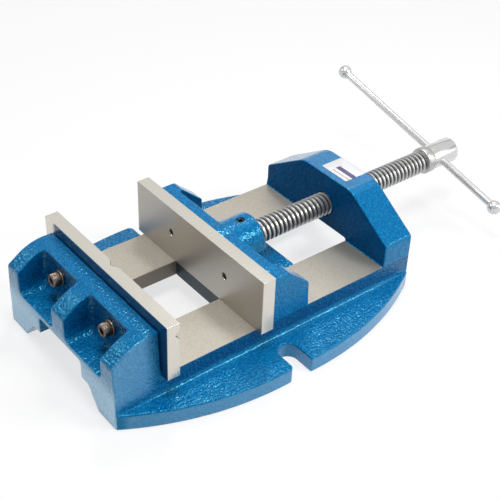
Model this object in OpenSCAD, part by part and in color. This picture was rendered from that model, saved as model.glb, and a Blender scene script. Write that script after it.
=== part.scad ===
// Drill press vise with 150 mm jaws: a cast base with winged feet and clamp slots, a fixed and a
// moving jaw with bolted steel plates, a trapezoidal spindle and a sliding tommy bar.
// +X runs from the fixed jaw to the handle, +Y is the far side and +Z is up. The origin is on the
// underside of the base, midway between the two clamp slots. All sizes are in millimetres.

/* [Base casting] */
// Length of the casting, front of the fixed jaw to the back of the bridge
base_l = 260; // [245:1:320]
// Width over the two wings
base_w = 202; // [190:1:230]
// Width of the bed over its two rails
bed_w = 137.5; // [130:0.5:146]
// Height of the machined rails above the table
bed_h = 28; // [26:0.5:34]
// Thickness of the wings
wing_t = 12.5; // [9:0.5:16]
// Straight stretch in the middle of each wing's edge
wing_flat = 28; // [20:1:60]
// Radius of the fillet between wing and bed
wing_fillet = 4; // [2:0.5:5]
// Width of the open clamp slot in each wing
slot_w = 15; // [10:0.5:17]
// Depth of the clamp slot from the wing's edge
slot_depth = 23; // [18:0.5:24]
// Radius on the front corner of each clamp slot
slot_corner = 4; // [1:0.5:6]
// Width of the window between the rails
window_w = 54; // [48:1:58]
// Thickness of the rails over the keeper's ledge
rail_t = 13; // [11:0.5:14]
// Width of the ledge under each rail
ledge_w = 9; // [8:0.5:11]
// How much wider the channel is at the table than at the ledge, each side
foot_spread = 12; // [8:0.5:14]

/* [Fixed jaw] */
// Length of the fixed jaw block along the spindle
block_l = 36.3; // [34:0.1:44]
// Height of the block above the rails
block_h = 35.4; // [33:0.2:40]
// Height of the block's upright front above the rails
front_h = 22; // [16:0.5:26]
// Length of the slope from the front up to the block's top
slope_l = 17.5; // [12:0.5:19]
// Lean of the block's two ends from rail to top
block_draft = 2.2; // [0.5:0.1:3]
// Thickness of the wall that carries the plate
wall_t = 14; // [11:0.5:15]
// Width of each screw pocket
pocket_w = 45; // [40:0.5:47]
// Width of the rib between the pockets
rib_w = 16; // [13:0.5:20]
// Height of the pocket floors above the rails
pocket_floor = 4.6; // [4:0.2:8]

/* [Bridge] */
// Length of the bridge along the spindle
bridge_l = 27; // [22:0.5:34]
// Height of the bridge's upright sides above the rails
bridge_side_h = 18; // [12:0.5:24]
// Height of the bridge above the rails
bridge_h = 44.7; // [40:0.5:50]
// Width of the flat on top of the bridge
bridge_top_w = 54; // [44:1:64]
// Headroom over the tongue where the window runs under block and bridge
arch_h = 1.3; // [0.8:0.1:2]

/* [Jaw plates] */
// Length of the jaw plates, the vise's nominal size
plate_w = 150; // [140:1:160]
// Height of the jaw plates
plate_h = 44; // [40:0.5:48]
// Thickness of the jaw plates
plate_t = 10; // [8:0.2:12]
// Height of the level groove's middle above the plate's lower edge
vee_h = 34.8; // [32:0.2:36]
// Width of the level groove for round bar
vee_w = 7.2; // [4:0.2:8]
// Width of the upright groove for round bar
cross_vee_w = 10.5; // [6:0.5:14]
// Depth of both grooves
vee_depth = 3.3; // [2:0.1:4]

/* [Moving jaw] */
// Gap between the jaws as shown
opening = 67.1; // [40:0.1:100]
// Width of the moving jaw casting
jaw_w = 136.4; // [130:0.2:138]
// Height of the moving jaw above the rails
jaw_h = 35.4; // [33:0.2:40]
// Thickness of the wall behind the plate
jaw_wall_t = 14; // [11:0.5:15]
// Length of the ears, plate to their back face
ear_l = 36; // [33:0.5:38]
// Length of the flat on top of the ears
ear_top_l = 17.9; // [16:0.1:22]
// Height of the ears' back face above the rails
ear_back_h = 20.3; // [14:0.1:26]
// Thickness of the ears
ear_t = 11.7; // [9:0.1:14]
// Diameter of the boss around the spindle
boss_d = 36; // [33:0.5:37]
// Length of the boss, plate to its back face
boss_l = 38.9; // [37:0.1:44]
// Length of the tongue behind the plate's back
tongue_l = 58.9; // [54:0.1:64]
// Width of the web that carries the boss on the tongue
web_w = 20; // [14:1:26]

/* [Keeper] */
// Length of the keeper plate under the tongue
keeper_l = 44; // [38:1:46]
// Distance of the keeper's front from the moving plate's back
keeper_front = 8; // [4:0.5:10]
// Thickness of the keeper plate
keeper_t = 7.5; // [6:0.5:8]
// How far the keeper reaches under each rail
keeper_reach = 7.5; // [5:0.5:7.5]
// Distance between the two keeper screws
keeper_screw_gap = 24; // [18:0.5:26]
// Length of the keeper screws under the head
keeper_screw_l = 16; // [14:0.5:17]

/* [Fasteners] */
// Thread diameter of the cap screws and the grub screw
screw_d = 6; // [5:0.5:6]
// Diameter of the cap screws' heads
screw_head_d = 10; // [8.5:0.5:10]
// Height of the cap screws' heads
screw_head_h = 6; // [5:0.5:6]
// Length of the plate screws under the head
screw_l = 20; // [18:0.5:22]
// Distance between the two screws of a plate
screw_gap = 64; // [60:0.5:70]
// Height of the plate screws above the rails
screw_h = 23; // [20:0.5:25]
// Diameter of the washers under the plate screws
washer_d = 12; // [11:0.5:13]
// Thickness of the washers
washer_t = 1.6; // [1:0.1:2]

/* [Spindle] */
// Outside diameter of the trapezoidal thread
thread_d = 18; // [16:0.5:18]
// Lead of the thread, the jaw's travel for one turn
thread_lead = 4; // [3:0.5:5]
// Length of the thread between boss and collar
thread_l = 174.7; // [160:0.1:200]
// Height of the spindle above the rails
spindle_h = 19; // [18.6:0.1:21]
// Diameter of the journal that turns in the boss
journal_d = 14; // [12:0.5:14]
// Distance of the grub screw from the moving plate's back
grub_l = 28.4; // [26:0.1:30]
// Diameter of the collar behind the thread
collar_d = 21.6; // [20:0.2:24]
// Length of the collar
collar_l = 7.7; // [5:0.1:10]
// Diameter of the head that takes the tommy bar
head_d = 20.4; // [18:0.2:21]
// Length of the head
head_l = 26.3; // [24:0.1:34]

/* [Handle] */
// Diameter of the tommy bar
bar_d = 6; // [5:0.2:7]
// Length of the bar between its ball ends
bar_l = 177; // [150:1:200]
// Diameter of the ball ends
ball_d = 11.4; // [9:0.2:12]
// How far the bar is pushed through towards the far side
bar_shift = 24.7; // [-40:0.1:40]
// Turn of the bar out of level, far end up
bar_tilt = 13; // [-45:0.5:45]
// Distance of the bar's hole from the collar
bar_hole_l = 10.3; // [8:0.1:14]

/* [Label] */
// Length of the sticker on the bridge along the spindle
label_l = 19.8; // [14:0.2:20]
// Width of the sticker across the bridge
label_w = 27; // [20:0.5:34]
// Thickness of the sticker
label_t = 0.2; // [0.1:0.05:0.4]

/* [Hidden] */
$fn = 96;

// Clearances: sliding faces, running fits, screws in their holes, and overlap of cutting solids
slide_gap = 0.05;
run_gap = 0.05;
screw_play = 0.3;
thread_play = 0.05;
cut = 1;

// Planes along X
front_x = -base_l / 2;
fixed_x = front_x + block_l;
fixed_face_x = fixed_x + plate_t;
moving_face_x = fixed_face_x + opening;
jaw_x = moving_face_x + plate_t;
boss_x = jaw_x + boss_l;
bridge_x = base_l / 2 - bridge_l;
pocket_x = fixed_x - wall_t;

// Heights
ledge_z = bed_h - rail_t;
arch_z = bed_h + arch_h;
axis_z = bed_h + spindle_h;
screw_z = bed_h + screw_h;
jaw_z = bed_h + slide_gap;
tongue_z = ledge_z - slide_gap;

// Widths
window_y = window_w / 2;
ledge_y = window_y + ledge_w;
foot_y = ledge_y + foot_spread;
slot_y = base_w / 2 - slot_depth + slot_w / 2;

// Wing edge: two arcs that end at the bed's corners, joined by the straight stretch
wing_drop = (base_w - bed_w) / 2;
wing_run = (base_l - wing_flat) / 2;
wing_r = (wing_run * wing_run + wing_drop * wing_drop) / (2 * wing_drop);

// Screw drives: socket width over its corners and its depth, as shares of the thread
socket_d = screw_d * 0.96;
socket_depth = screw_d / 2;
grub_socket_d = screw_d * 0.58;
washer_hole_d = screw_d + 0.4;

// Spindle: where its stretches begin, and the form of the thread rings
journal_x = jaw_x + jaw_wall_t + 2;
thread_x = boss_x + 0.3;
collar_x = thread_x + thread_l;
head_x = collar_x + collar_l;
bar_x = head_x + bar_hole_l;
thread_depth = thread_lead / 2;
grub_x = jaw_x + grub_l;
grub_tip_d = screw_d * 0.66;
groove_l = grub_tip_d + 1;
groove_depth = 1.5;
groove_r = journal_d / 2 - groove_depth;
head_chamfer = 1.2;

// Ball ends: a flat that meets the bar's shoulder, and a spigot inside the ball
ball_flat_r = bar_d / 2 + 0.6;
ball_flat_x = sqrt(ball_d * ball_d / 4 - ball_flat_r * ball_flat_r);
spigot_d = bar_d - 2;
spigot_l = ball_d / 2;

BLUE = [0.08, 0.37, 0.66];
STEEL = [0.74, 0.70, 0.64];
BRIGHT = [0.84, 0.84, 0.85];
DARK = [0.42, 0.36, 0.32];
WHITE = [0.93, 0.93, 0.92];

// A box from one corner to the opposite one
module span(low, high) translate(low) cube(high - low);

// Children drawn along +Z are laid along +X from the point given
module along_x(x, y, z) translate([x, y, z]) rotate([0, 90, 0]) children();

// An outline of [x, z] points drawn out along Y
module across_y(y0, y1) translate([0, y1, 0]) rotate([90, 0, 0]) linear_extrude(y1 - y0) children();

// An outline of [y, z] points drawn out along X
module along_bed(x0, x1)
    translate([x0, 0, 0]) rotate([90, 0, 90]) linear_extrude(x1 - x0) children();

// Near side is -1, far side is +1
module both_sides() for (side = [-1, 1]) mirror([0, side < 0 ? 1 : 0, 0]) children();

// Cap screw with its head on the near side of z = 0 and its shank along +Z
module cap_screw(length) difference() {
    union() {
        translate([0, 0, -screw_head_h]) cylinder(d = screw_head_d, h = screw_head_h);
        cylinder(d = screw_d, h = length);
    }
    translate([0, 0, -screw_head_h - cut]) cylinder(d = socket_d, h = socket_depth + cut, $fn = 6);
}

module washer() difference() {
    cylinder(d = washer_d, h = washer_t);
    translate([0, 0, -cut]) cylinder(d = washer_hole_d, h = washer_t + 2 * cut);
}

// Plan of one half of the winged foot, from the middle line to the wing's edge
module wing_plan() intersection() {
    translate([front_x, 0]) square([base_l, base_w / 2]);
    union() {
        for (end = [-1, 1]) translate([end * wing_flat / 2, base_w / 2 - wing_r]) circle(r = wing_r, $fn = 360);
        translate([-wing_flat / 2, 0]) square([wing_flat, base_w / 2]);
    }
}

// Clamp slot open to the wing's edge, its front corner rounded
module clamp_slot() translate([0, 0, -cut]) linear_extrude(wing_t + 2 * cut) {
    translate([0, slot_y]) circle(d = slot_w);
    translate([-slot_w / 2, slot_y]) square([slot_w, base_w / 2]);
    difference() {
        translate([-slot_w / 2 - slot_corner, base_w / 2 - slot_corner]) square(slot_corner + cut);
        translate([-slot_w / 2 - slot_corner, base_w / 2 - slot_corner]) circle(r = slot_corner);
    }
}

module wing_fillet_strip() difference() {
    span([front_x, bed_w / 2 - cut, wing_t - cut], [-front_x, bed_w / 2 + wing_fillet, wing_t + wing_fillet]);
    along_x(front_x - cut, bed_w / 2 + wing_fillet, wing_t + wing_fillet)
        cylinder(r = wing_fillet, h = base_l + 2 * cut);
}

// Fixed jaw block: the side outline with its slope, cut to ends that lean inwards
module jaw_block() intersection() {
    across_y(-bed_w, bed_w) polygon([
        [front_x, ledge_z], [front_x, bed_h + front_h], [front_x + slope_l, bed_h + block_h],
        [fixed_x, bed_h + block_h], [fixed_x, ledge_z]]);
    along_bed(front_x - cut, fixed_x + cut) polygon([
        [-bed_w / 2, ledge_z], [bed_w / 2, ledge_z], [bed_w / 2, bed_h],
        [bed_w / 2 - block_draft, bed_h + block_h], [block_draft - bed_w / 2, bed_h + block_h],
        [-bed_w / 2, bed_h]]);
}

module bridge() along_bed(bridge_x, base_l / 2) polygon([
    [-bed_w / 2, ledge_z], [bed_w / 2, ledge_z], [bed_w / 2, bed_h + bridge_side_h],
    [bridge_top_w / 2, bed_h + bridge_h], [-bridge_top_w / 2, bed_h + bridge_h],
    [-bed_w / 2, bed_h + bridge_side_h]]);

// Window between the rails and the wider channel under them, open at both ends
module channel() {
    span([front_x - cut, -window_y, ledge_z - cut], [cut - front_x, window_y, arch_z]);
    along_bed(front_x - cut, cut - front_x) polygon([
        [-foot_y, -cut], [foot_y, -cut], [foot_y, 0], [ledge_y, ledge_z], [-ledge_y, ledge_z], [-foot_y, 0]]);
}

module screw_pocket()
    span([front_x - cut, rib_w / 2, bed_h + pocket_floor],
         [pocket_x, rib_w / 2 + pocket_w, bed_h + block_h + cut]);

module base() color(BLUE) difference() {
    union() {
        span([front_x, -bed_w / 2, 0], [-front_x, bed_w / 2, bed_h]);
        jaw_block();
        bridge();
        both_sides() {
            linear_extrude(wing_t) wing_plan();
            intersection() {
                wing_fillet_strip();
                linear_extrude(bed_h) wing_plan();
            }
        }
    }
    channel();
    both_sides() {
        clamp_slot();
        screw_pocket();
        along_x(pocket_x - cut, screw_gap / 2, screw_z)
            cylinder(d = screw_d + 2 * screw_play, h = wall_t + 2 * cut);
    }
    along_x(bridge_x - cut, 0, axis_z) cylinder(d = thread_d + 2 * run_gap, h = bridge_l + 2 * cut);
}

// Jaw plate with its back face at x = 0 and its jaw face at x = plate_t
module jaw_plate() difference() {
    span([0, -plate_w / 2, 0], [plate_t, plate_w / 2, plate_h]);
    both_sides() along_x(-cut, screw_gap / 2, screw_h)
        cylinder(d = screw_d + 2 * thread_play, h = plate_t + 2 * cut);
}

// V-groove of the given width in the jaw face, its middle at the origin of the outline
module vee(width) polygon([[plate_t - vee_depth, 0], [plate_t, -width / 2], [plate_t + cut, -width / 2],
                           [plate_t + cut, width / 2], [plate_t, width / 2]]);

module fixed_jaw_plate() color(STEEL) translate([fixed_x, 0, bed_h]) difference() {
    jaw_plate();
    translate([0, 0, vee_h]) across_y(-plate_w, plate_w) vee(vee_w);
    translate([0, 0, -cut]) linear_extrude(plate_h + 2 * cut) vee(cross_vee_w);
}

module fixed_jaw_screw(side) color(DARK)
    along_x(pocket_x - washer_t, side * screw_gap / 2, screw_z) cap_screw(screw_l);

module fixed_jaw_washer(side) color(DARK)
    along_x(pocket_x - washer_t, side * screw_gap / 2, screw_z) washer();

module moving_jaw_plate() color(STEEL)
    translate([jaw_x, 0, jaw_z]) mirror([1, 0, 0]) jaw_plate();

// Ear at the far end of the moving jaw, sloped down to its back face
module jaw_ear() across_y(jaw_w / 2 - ear_t, jaw_w / 2) polygon([
    [jaw_x, jaw_z], [jaw_x, bed_h + jaw_h], [jaw_x + ear_top_l, bed_h + jaw_h],
    [jaw_x + ear_l, bed_h + ear_back_h], [jaw_x + ear_l, jaw_z]]);

// Places of the two keeper screws along X
keeper_x = jaw_x + keeper_front;
keeper_screw_x = [for (end = [-1, 1]) keeper_x + keeper_l / 2 + end * keeper_screw_gap / 2];
keeper_low_z = tongue_z - keeper_t;

module moving_jaw() color(BLUE) difference() {
    union() {
        span([jaw_x, -jaw_w / 2, jaw_z], [jaw_x + jaw_wall_t, jaw_w / 2, bed_h + jaw_h]);
        both_sides() jaw_ear();
        along_x(jaw_x, 0, axis_z) cylinder(d = boss_d, h = boss_l);
        span([jaw_x, -web_w / 2, jaw_z], [boss_x, web_w / 2, axis_z]);
        span([moving_face_x + 1, slide_gap - window_y, tongue_z],
             [jaw_x + tongue_l, window_y - slide_gap, jaw_z]);
    }
    both_sides() along_x(jaw_x - cut, screw_gap / 2, screw_z)
        cylinder(d = screw_d + 2 * screw_play, h = jaw_wall_t + 2 * cut);
    along_x(journal_x - 0.3, 0, axis_z) cylinder(d = journal_d + 2 * run_gap, h = boss_l);
    translate([grub_x, 0, axis_z]) cylinder(d = screw_d + 2 * thread_play, h = boss_d);
    for (x = keeper_screw_x) translate([x, 0, tongue_z - cut])
        cylinder(d = screw_d + 2 * thread_play, h = keeper_screw_l - keeper_t + 1 + cut);
}

module moving_jaw_screw(side) color(DARK) mirror([1, 0, 0])
    along_x(-jaw_x - jaw_wall_t - washer_t, side * screw_gap / 2, screw_z) cap_screw(screw_l);

module moving_jaw_washer(side) color(DARK)
    along_x(jaw_x + jaw_wall_t, side * screw_gap / 2, screw_z) washer();

// Grub screw whose tip runs in the journal's groove
module boss_grub_screw() color(DARK) translate([grub_x, 0, axis_z]) difference() {
    union() {
        translate([0, 0, groove_r + 0.2]) cylinder(d = grub_tip_d, h = boss_d / 2 - groove_r - 2);
        translate([0, 0, journal_d / 2 + 0.6])
            cylinder(d = screw_d, h = (boss_d - journal_d) / 2 - 1.6);
    }
    translate([0, 0, boss_d / 2 - 1 - socket_depth]) cylinder(d = grub_socket_d, h = boss_d, $fn = 6);
}

module keeper_plate() color(STEEL) difference() {
    span([keeper_x, -window_y - keeper_reach, keeper_low_z],
         [keeper_x + keeper_l, window_y + keeper_reach, tongue_z]);
    for (x = keeper_screw_x) translate([x, 0, 0]) cylinder(d = screw_d + 2 * screw_play, h = bed_h);
}

module keeper_screw(which) color(DARK)
    translate([keeper_screw_x[which], 0, keeper_low_z]) cap_screw(keeper_screw_l);

// Radius and place of the thread's edges: flat crests, sloped flanks and flat roots, one ring a lead
function thread_points() = [
    for (i = [0 : floor(thread_l / thread_lead) - 1])
        for (step = [[0.08, -thread_depth], [0.42, -thread_depth], [0.58, 0], [0.92, 0]])
            [thread_d / 2 + step[1], thread_x + (i + step[0]) * thread_lead]];

// Half section of the spindle as [radius, x]
function spindle_section() = concat(
    [[0, journal_x], [journal_d / 2 - 1, journal_x], [journal_d / 2, journal_x + 1]],
    [[journal_d / 2, grub_x - groove_l / 2], [groove_r, grub_x - groove_l / 2],
     [groove_r, grub_x + groove_l / 2], [journal_d / 2, grub_x + groove_l / 2]],
    [[journal_d / 2, thread_x], [thread_d / 2, thread_x]],
    thread_points(),
    [[thread_d / 2 - thread_depth, collar_x], [collar_d / 2, collar_x], [collar_d / 2, head_x],
     [head_d / 2, head_x], [head_d / 2, head_x + head_l - head_chamfer],
     [head_d / 2 - head_chamfer, head_x + head_l], [0, head_x + head_l]]);

module spindle() color(BRIGHT) difference() {
    along_x(0, 0, axis_z) rotate_extrude() polygon(spindle_section());
    at_bar() translate([0, 0, -head_d]) cylinder(d = bar_d + 2 * run_gap, h = 2 * head_d);
}

// Children drawn along +Z are laid along the tommy bar, far end up
module at_bar() translate([bar_x, 0, axis_z]) rotate([bar_tilt, 0, 0]) rotate([-90, 0, 0]) children();

module tommy_bar() color(BRIGHT) at_bar() translate([0, 0, bar_shift - bar_l / 2]) {
    cylinder(d = bar_d, h = bar_l);
    translate([0, 0, 0.2 - spigot_l]) cylinder(d = spigot_d, h = bar_l + 2 * spigot_l - 0.4);
}

// Ball end: near is -1, far is +1
module bar_ball(side) color(BRIGHT) at_bar() translate([0, 0, bar_shift + side * bar_l / 2])
    mirror([0, 0, side < 0 ? 1 : 0]) difference() {
        translate([0, 0, ball_flat_x]) sphere(d = ball_d);
        translate([0, 0, -ball_d]) cylinder(d = 2 * ball_d, h = ball_d);
        translate([0, 0, -cut]) cylinder(d = spigot_d + 2 * thread_play, h = spigot_l + cut);
    }

module bridge_label() color(WHITE)
    translate([bridge_x + bridge_l - 1.5 - label_l, -2 - label_w / 2, bed_h + bridge_h])
        cube([label_l, label_w, label_t]);

base();
fixed_jaw_plate();
fixed_jaw_screw(-1);  // fixed_jaw_screw_near
fixed_jaw_screw(1);  // fixed_jaw_screw_far
fixed_jaw_washer(-1);  // fixed_jaw_washer_near
fixed_jaw_washer(1);  // fixed_jaw_washer_far
moving_jaw();
moving_jaw_plate();
moving_jaw_screw(-1);  // moving_jaw_screw_near
moving_jaw_screw(1);  // moving_jaw_screw_far
moving_jaw_washer(-1);  // moving_jaw_washer_near
moving_jaw_washer(1);  // moving_jaw_washer_far
boss_grub_screw();
keeper_plate();
keeper_screw(0);  // keeper_screw_front
keeper_screw(1);  // keeper_screw_rear
spindle();
tommy_bar();
bar_ball(-1);  // bar_ball_near
bar_ball(1);  // bar_ball_far
bridge_label();
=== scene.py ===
"""Drill press vise: enamelled castings, ground jaw plates, trapezoidal spindle and tommy bar.

All sizes are in millimetres in the vise's own frame: +X from the fixed jaw to the handle, +Y to the
far side, +Z up, origin on the underside midway between the clamp slots. Meshes are written in metres.
"""

import math

import bmesh
import bpy
import numpy as np
from mathutils import Matrix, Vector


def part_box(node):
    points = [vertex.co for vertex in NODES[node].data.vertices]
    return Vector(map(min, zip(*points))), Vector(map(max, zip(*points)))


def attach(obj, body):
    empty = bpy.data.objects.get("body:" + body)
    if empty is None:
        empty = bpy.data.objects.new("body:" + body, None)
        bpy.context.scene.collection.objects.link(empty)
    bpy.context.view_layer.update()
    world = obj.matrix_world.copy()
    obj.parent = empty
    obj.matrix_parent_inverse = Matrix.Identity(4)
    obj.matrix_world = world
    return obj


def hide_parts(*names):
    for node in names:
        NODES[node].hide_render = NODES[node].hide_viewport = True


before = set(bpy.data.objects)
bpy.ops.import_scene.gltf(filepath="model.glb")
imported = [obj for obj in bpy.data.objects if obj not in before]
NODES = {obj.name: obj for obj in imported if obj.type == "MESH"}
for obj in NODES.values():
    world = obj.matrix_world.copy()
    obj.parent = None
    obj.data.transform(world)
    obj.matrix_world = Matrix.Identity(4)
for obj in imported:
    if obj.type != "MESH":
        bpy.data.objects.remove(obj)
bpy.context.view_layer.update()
MM = 0.001


def node_box(name):
    """Lowest and highest corner of a CAD node, in millimetres."""
    low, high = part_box(name)
    return np.array(low) / MM, np.array(high) / MM


# Places read from the frame
BASE_LOW, BASE_HIGH = node_box("base")
FIXED_LOW, FIXED_HIGH = node_box("fixed_jaw_plate")
MOVING_LOW, MOVING_HIGH = node_box("moving_jaw_plate")
JAW_LOW, JAW_HIGH = node_box("moving_jaw")
SPINDLE_LOW, SPINDLE_HIGH = node_box("spindle")
LABEL_LOW, LABEL_HIGH = node_box("bridge_label")
FRONT_X, REAR_X = BASE_LOW[0], BASE_HIGH[0]
WING_Y = BASE_HIGH[1]
TOP_Z = BASE_HIGH[2]
PLATE_BACK_X = FIXED_LOW[0]
PLATE_HALF = MOVING_HIGH[1]
RAIL_Z = FIXED_LOW[2]
JAW_X = MOVING_HIGH[0]

# Base casting
BED_Y = 68.75
WING_T = 12.5
WING_FLAT = 28.0
SLOT_R = 7.5
SLOT_Y = WING_Y - 23.0 + SLOT_R
WINDOW_Y = 27.0
LEDGE_Z = RAIL_Z - 13.0
LEDGE_Y = WINDOW_Y + 9.0
FOOT_Y = LEDGE_Y + 12.0
ARCH_Z = RAIL_Z + 1.3
BRIDGE_X = REAR_X - 27.0
BRIDGE_SIDE_Z = RAIL_Z + 18.0
BRIDGE_TOP_Y = 27.0
RAIL_SINK = 0.1
SKIN_GAP = 0.25

# Fixed jaw block
BLOCK_Z = RAIL_Z + 35.4
BLOCK_FRONT_Z = RAIL_Z + 22.0
BLOCK_SLOPE_X = FRONT_X + 17.5
BLOCK_DRAFT = 2.2
POCKET_X = PLATE_BACK_X - 14.0
POCKET_Y = 30.5
POCKET_HALF = 22.5
POCKET_Z = RAIL_Z + 4.6

# Radii of the base's edges and fillets
SLOT_FRONT_R, SLOT_REAR_R = 4.0, 1.2
WING_END_R = 1.2
WING_TOP_R = 1.3
WING_FILLET = 4.0
WING_FILLET_RUN = 30.0
BLOCK_RIDGE_R = 7.0
BLOCK_BACK_R = 0.9
BRIDGE_RIDGE_R = 3.0
BRIDGE_FACE_R = 1.3
RAIL_ROOT_R = 1.2
RAIL_EDGE_R = 0.4
UPPER_EDGE_R = 1.7
BED_CORNER_R = 1.6
BED_END_R = 1.0
ARCH_R = 3.0
CHANNEL_R = 1.5
OPENING_EDGE_R = 0.9
POCKET_CORNER_R = 4.0
POCKET_FLOOR_R = 5.0
POCKET_EDGE_R = 1.0
BORE_EDGE_R = 0.8
FOOT_EDGE_R = 0.9

# Moving jaw
AXIS_Z = RAIL_Z + 19.0
EAR_Y = JAW_HIGH[1]
EAR_T = 11.7
EAR_FLARE = 1.8
WALL_T = 15.0
SEAT_X = JAW_X + 14.0
SEAT_R = 7.2
SCREW_Y = 32.0
SCREW_Z = RAIL_Z + 23.0
EAR_TOP_X = JAW_X + 17.9
EAR_BACK_X = JAW_X + 36.0
EAR_BACK_Z = JAW_LOW[2] + 33.35
BOSS_R = 18.0
BOSS_X = JAW_X + 38.9
WEB_Y = 10.0
TONGUE_Y = 26.95
JAW_Z = RAIL_Z + 0.05
JAW_HIGH_Z = JAW_Z + 35.85
GRUB_X = JAW_X + 28.4
GRUB_HOLE_R = 3.15
GRUB_HOLE_Z = AXIS_Z + 9.0

# Radii of the moving jaw's edges and fillets
EAR_EDGE_R = 0.9
FACE_EDGE_R = 0.5
HOLLOW_R = 2.0
HOLLOW_EDGE_R = 0.8
SEAT_EDGE_R = 0.4
BOSS_EDGE_R = 1.8
BOSS_ROOT_R = 1.6
WEB_R = 4.0
TONGUE_EDGE_R = 0.8
GRUB_EDGE_R = 0.5

# Jaw plates
PLATE_CHAMFER = 0.55
VEE_DEPTH = 3.3
UPRIGHT_VEE_HALF = 5.25
LEVEL_VEE_HALF = 3.6
LEVEL_VEE_Z = RAIL_Z + 34.8
PLATE_HOLE_R = 3.045

# Screws and washers
SCREW_HEAD_R = 5.0
SCREW_SHANK_R = 2.98
SCREW_KEY_HALF = 2.49
KNURL = 0.09
KNURL_TEETH = 48
WASHER_T = 1.6
WASHER_R = 6.0
WASHER_BORE_R = 3.2
GRUB_R = 3.0
GRUB_KEY_HALF = 1.5

# Spindle and tommy bar
THREAD_R = 9.0
THREAD_DEPTH = 2.1
THREAD_LEAD = 4.0
THREAD_X = BOSS_X + 0.3
JOURNAL_R = 6.9
JOURNAL_L = 23.2
COLLAR_X = THREAD_X + 174.7
COLLAR_L = 7.7
COLLAR_R = 10.8
HEAD_X = COLLAR_X + COLLAR_L
HEAD_R = 10.2
BAR_X = HEAD_X + 10.3
BAR_R = 3.0
BAR_TILT = math.radians(13.0)
BAR_HALF = 88.5
BAR_SHIFT = 24.7
BALL_R = 5.7
BALL_FLAT_R = 3.6

# Enamel colours: film and fleck as pairs that a slow noise mixes, then tones by place that paint reflection,
# sheen and shade into the colour
FILM_BLUES = ((0.001, 0.094, 0.275), (0.001, 0.113, 0.315))
FLECK_BLUES = ((0.001, 0.186, 0.446), (0.002, 0.212, 0.488))
# Painted reflection and sheen: a paler blue for the front faces and the bridge's top
PAINTED_SHEEN_BLUE = (0.46, 0.72, 0.96)
# Painted reflection of the floor: a paler blue for the block's near end and the wings' rims
END_REFLECTION_BLUE = (0.34, 0.66, 0.95)
# Painted shade: a dark blue for the strip under the rails' outer edges
STRIP_SHADE_BLUE = (0.001, 0.058, 0.20)
# Painted shade: a dark blue for the walls behind the pockets
POCKET_SHADE_BLUE = (0.001, 0.030, 0.130)
# Painted shade: a dark blue mixed into the enamel of inner faces
INNER_SHADE_BLUE = (0.001, 0.030, 0.120)
# Painted reflection of the blue block in the fixed plate's back
PLATE_BACK_REFLECTION_BLUE = (0.001, 0.045, 0.145)
GLOSS_BLUE = (0.20, 0.86, 1.0, 1.0)


# Distance fields and their skins

def round_join(a, b, radius):
    """Union of two distance fields whose hollow edge is filled with an arc of that radius: the
    larger of the radius and the nearer field, less the length of what both fall short of it."""
    return np.maximum(radius, np.minimum(a, b)) - np.hypot(
        np.maximum(radius - a, 0), np.maximum(radius - b, 0))


def round_meet(a, b, radius):
    """Intersection of two distance fields whose edge is rounded to that radius: the smaller of
    minus the radius and the farther field, plus the length of what both pass it by."""
    return np.minimum(-radius, np.maximum(a, b)) + np.hypot(
        np.maximum(radius + a, 0), np.maximum(radius + b, 0))


def ticks(low, high, places, fine, coarse):
    """Grid planes from low to high: the step is fine within 4 mm of the places and grows by a third
    of the distance beyond that up to coarse. The planes stand at equal shares of the summed steps."""
    line = np.linspace(low, high, 4001)
    away = np.min(np.abs(line[:, None] - np.array(places)[None, :]), axis=1)
    step = np.clip(fine + (away - 4.0) / 3.0, fine, coarse)
    share = np.concatenate([[0.0], np.cumsum(np.diff(line) / step[1:])])
    count = int(math.ceil(share[-1]))
    return np.interp(np.linspace(0.0, share[-1], count + 1), share, line)


def field_slope(field, points):
    """Gradient of a field at points by differences over a twentieth of a millimetre."""
    reach = 0.05
    slope = np.empty_like(points)
    for axis in range(3):
        ahead = points.copy()
        behind = points.copy()
        ahead[:, axis] += reach
        behind[:, axis] -= reach
        slope[:, axis] = (field(*ahead.T) - field(*behind.T)) / (2 * reach)
    return slope


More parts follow.
